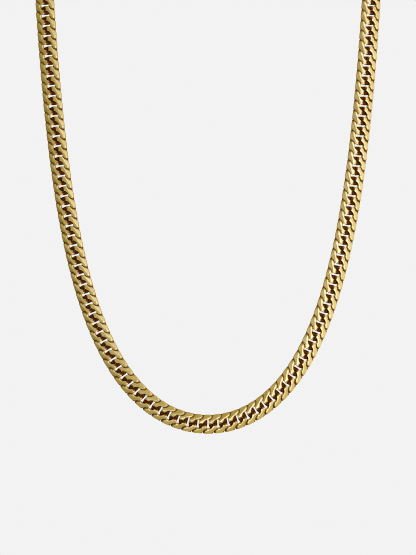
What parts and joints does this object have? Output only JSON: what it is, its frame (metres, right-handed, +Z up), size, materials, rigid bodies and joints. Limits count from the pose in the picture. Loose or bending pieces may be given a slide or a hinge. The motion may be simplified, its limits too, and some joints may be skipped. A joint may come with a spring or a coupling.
{
  "type": "cuban link chain necklace",
  "caption": "Closed necklace of interlocked flat curb chain links in pale yellow gold with a plain bar clasp at the nape, in the form it has when it hangs.",
  "frame": {"origin": "the nape: the middle of the clasp's inner face, where the necklace rests on the back of a neck", "axes": "+Z up, the front of the loop hangs down and faces -Y, +X to the right as seen from the front"},
  "size_m": [0.1118, 0.0424, 0.1793],
  "materials": {
    "gold": "polished"
  },
  "bodies": {
    "root": {"chain_left": "gold", "chain_right": "gold", "clasp": "gold"}
  },
  "joints": []
}
